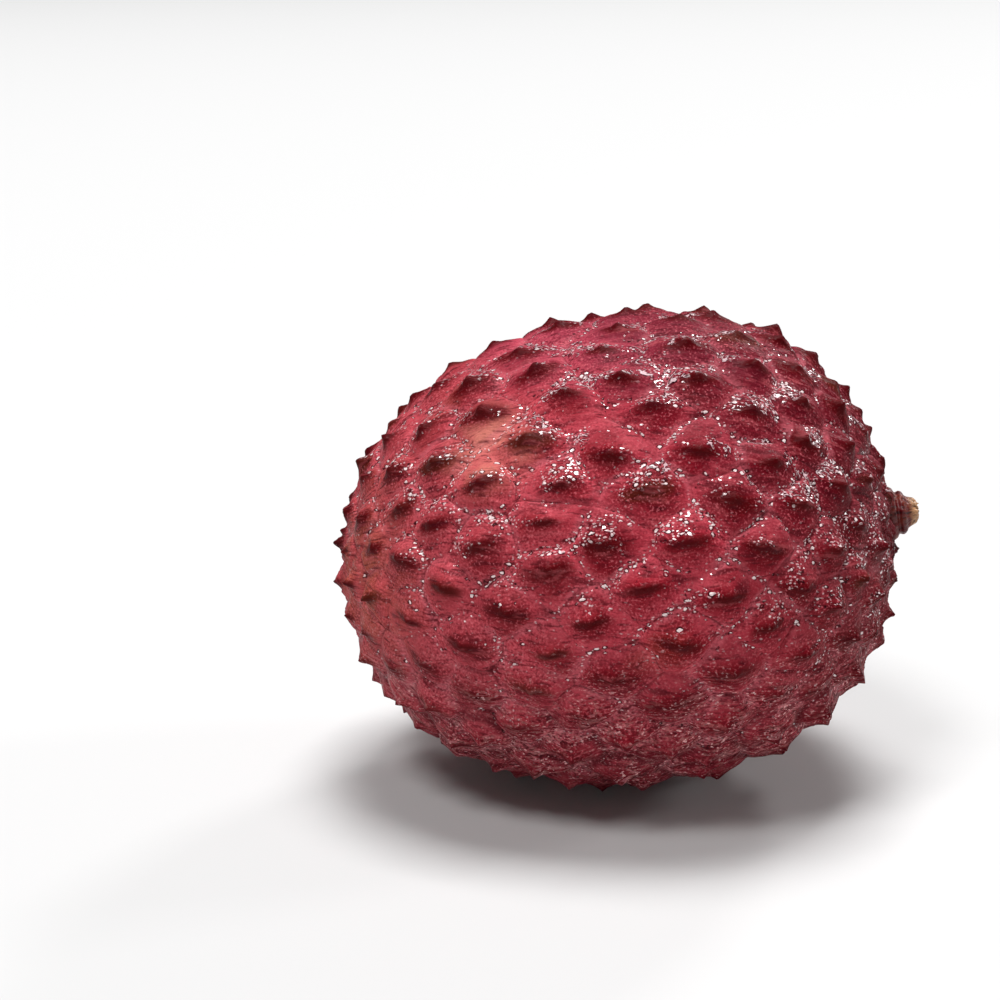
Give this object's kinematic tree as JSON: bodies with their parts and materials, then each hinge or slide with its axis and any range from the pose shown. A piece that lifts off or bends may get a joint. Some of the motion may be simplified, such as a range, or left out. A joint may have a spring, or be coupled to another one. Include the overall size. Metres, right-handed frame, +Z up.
{
  "type": "lychee",
  "caption": "Whole ripe lychee fruit with a knobbly crimson rind of pointed scutes and a short stub of its stalk, lying on its side.",
  "frame": {"origin": "on the surface that the fruit lies on, under the middle of its length and width, stalk stub included", "axes": "+Z up, +X towards the stalk end, along the fruit's length as it lies, +Y across it"},
  "size_m": [0.0394, 0.033, 0.0321],
  "materials": {
    "rind": "thin leathery crimson rind, knobbly and slightly glossy",
    "stalk": "dry brown stalk with a pale torn end"
  },
  "bodies": {
    "root": {"fruit": "rind", "stalk_stub": "stalk"}
  },
  "joints": []
}
